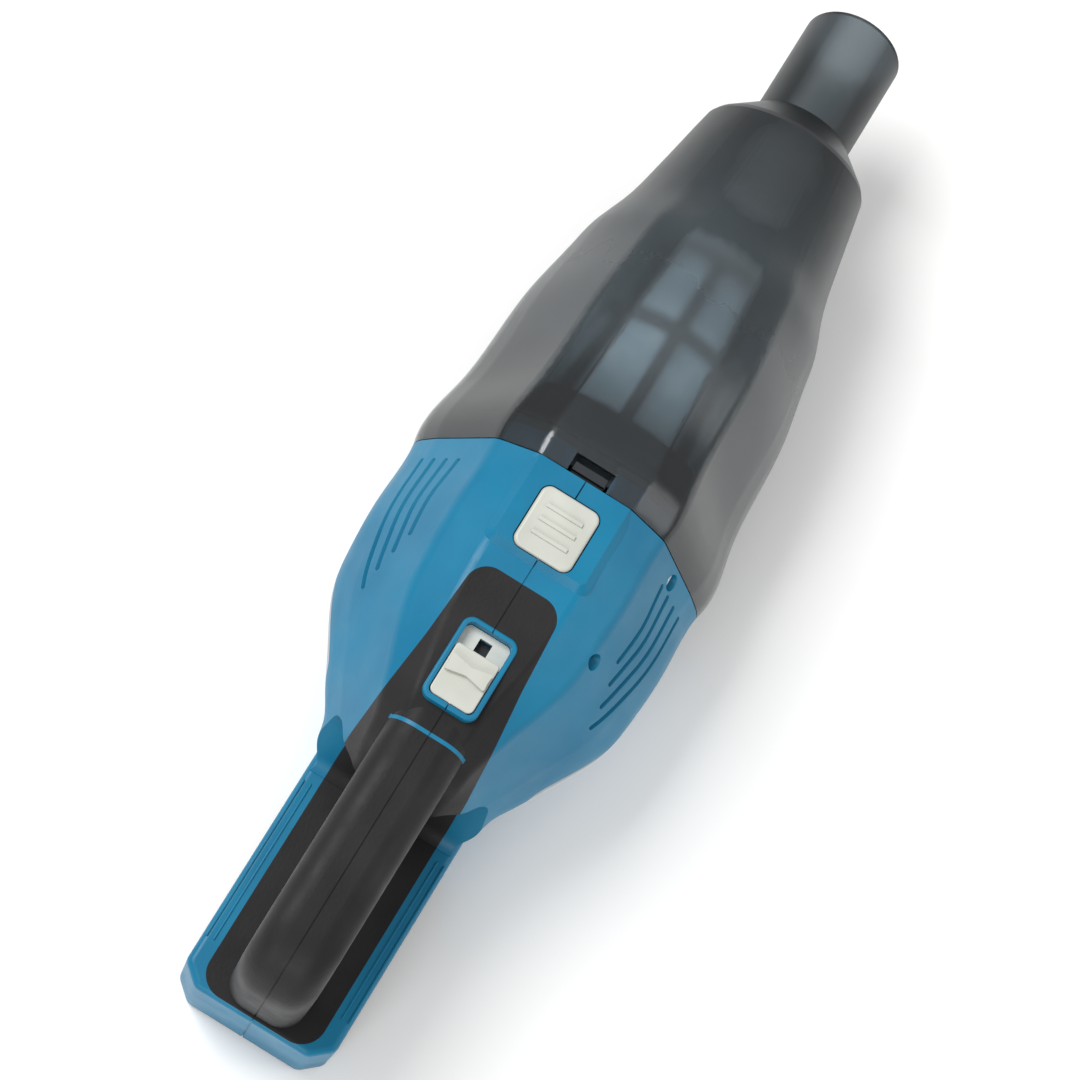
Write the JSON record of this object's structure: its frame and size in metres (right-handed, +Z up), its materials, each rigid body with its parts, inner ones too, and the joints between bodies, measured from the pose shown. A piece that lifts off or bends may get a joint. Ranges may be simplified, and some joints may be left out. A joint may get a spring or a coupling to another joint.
{
  "type": "handheld vacuum cleaner",
  "caption": "Cordless hand-held shop vacuum: clear cup with slanted nozzle, cone filter, motor housing, D-handle with slide switch, slide-in battery pack.",
  "frame": {"origin": "centre of the bounding box at the level of the feet", "axes": "+X towards the nozzle, +Y to the left when looking along +X, +Z up"},
  "size_m": [0.4235, 0.1194, 0.1202],
  "materials": {
    "smoked_clear": "clear smoked polycarbonate, moulded",
    "teal_shell": "fine-textured teal ABS",
    "soft_grip": "black soft-touch overmould",
    "ivory_plastic": "ivory moulded plastic",
    "grey_trim": "silver-grey moulded plastic",
    "dark_plastic": "black moulded plastic",
    "filter_frame_plastic": "dark grey moulded plastic",
    "filter_fabric": "pale washable non-woven cloth",
    "black_rubber": "moulded rubber",
    "zinc_steel": "zinc-plated steel",
    "spring_steel": "drawn spring steel",
    "copper_winding": "laminated core with enamelled copper windings",
    "ferrite": "sintered ferrite",
    "white_nylon": "natural nylon",
    "battery_plastic": "black moulded battery case",
    "cell_wrap": "lithium cell in a green shrink sleeve; aluminium stands for its mean density",
    "nickel_strip": "nickel strip",
    "circuit_board": "green circuit board",
    "contact_brass": "brass contact",
    "red_wire": "red insulated wire",
    "black_wire": "black insulated wire"
  },
  "bodies": {
    "housing": {"filter_seat": "dark_plastic", "cup_seal": "black_rubber", "body_left": "teal_shell", "body_right": "teal_shell", "grip_left": "soft_grip", "grip_right": "soft_grip", "side_trim_left": "grey_trim", "side_trim_right": "grey_trim", "housing_screws": "zinc_steel", "rubber_feet": "black_rubber", "release_spring": "spring_steel", "switch_plate": "ivory_plastic", "switch_block": "dark_plastic", "fan_shroud": "white_nylon", "motor_can": "zinc_steel", "motor_end_cap": "dark_plastic", "front_bearing": "zinc_steel", "rear_bearing": "zinc_steel", "motor_magnets": "ferrite", "front_motor_mount": "dark_plastic", "rear_motor_mount": "black_rubber", "motor_capacitor": "contact_brass", "terminal_block": "dark_plastic", "terminal_blades": "contact_brass", "supply_wire": "red_wire", "return_wire": "black_wire", "motor_wire": "red_wire"},
    "cup": {"dust_cup": "smoked_clear", "inlet_duct": "dark_plastic", "flap_ears": "dark_plastic", "flap_pin": "zinc_steel"},
    "flap": {"inlet_flap": "black_rubber"},
    "filter": {"filter_frame": "filter_frame_plastic", "filter_cloth": "filter_fabric", "filter_seal": "black_rubber"},
    "release": {"release_button": "ivory_plastic", "latch_hook": "dark_plastic"},
    "slider": {"switch_slider": "ivory_plastic"},
    "rotor": {"motor_shaft": "zinc_steel", "armature": "copper_winding", "impeller": "white_nylon"},
    "pack": {"battery_case": "battery_plastic", "battery_lid": "teal_shell", "battery_cells": "cell_wrap", "cell_straps": "nickel_strip", "battery_board": "circuit_board", "pack_contacts": "contact_brass", "latch_spring_left": "spring_steel", "latch_spring_right": "spring_steel"},
    "latch_left": {"pack_latch_left": "grey_trim"},
    "latch_right": {"pack_latch_right": "grey_trim"}
  },
  "joints": [
    {"name": "cup_slide", "type": "slide", "parent": "housing", "child": "cup", "axis": [1, 0, 0], "range_m": [0, 0.11]},
    {"name": "filter_slide", "type": "slide", "parent": "housing", "child": "filter", "axis": [1, 0, 0], "range_m": [0, 0.025]},
    {"name": "flap_hinge", "type": "hinge", "parent": "cup", "child": "flap", "pos_m": [0.13735, 0, 0.0786], "axis": [0, 1, 0], "range_deg": [0, 70], "stiffness_Nm_per_rad": 0.002, "springref_deg": -11.46},
    {"name": "button_press", "type": "slide", "parent": "housing", "child": "release", "axis": [0, 0, -1], "range_m": [0, 0.003], "stiffness_N_per_m": 1200, "springref_m": -0.002, "deforming": ["release_spring"]},
    {"name": "switch_slide", "type": "slide", "parent": "housing", "child": "slider", "axis": [1, 0, 0], "range_m": [0, 0.008]},
    {"name": "rotor_spin", "type": "hinge", "parent": "housing", "child": "rotor", "pos_m": [-0.06155, 0, 0.06], "axis": [1, 0, 0], "continuous": true},
    {"name": "pack_slide", "type": "slide", "parent": "housing", "child": "pack", "axis": [0, 0, -1], "range_m": [0, 0.045]},
    {"name": "latch_left_press", "type": "slide", "parent": "pack", "child": "latch_left", "axis": [0, -1, 0], "range_m": [0, 0.0016], "stiffness_N_per_m": 800, "springref_m": -0.001, "deforming": ["latch_spring_left"]},
    {"name": "latch_right_press", "type": "slide", "parent": "pack", "child": "latch_right", "axis": [0, 1, 0], "range_m": [0, 0.0016], "stiffness_N_per_m": 800, "springref_m": -0.001, "deforming": ["latch_spring_right"]}
  ]
}
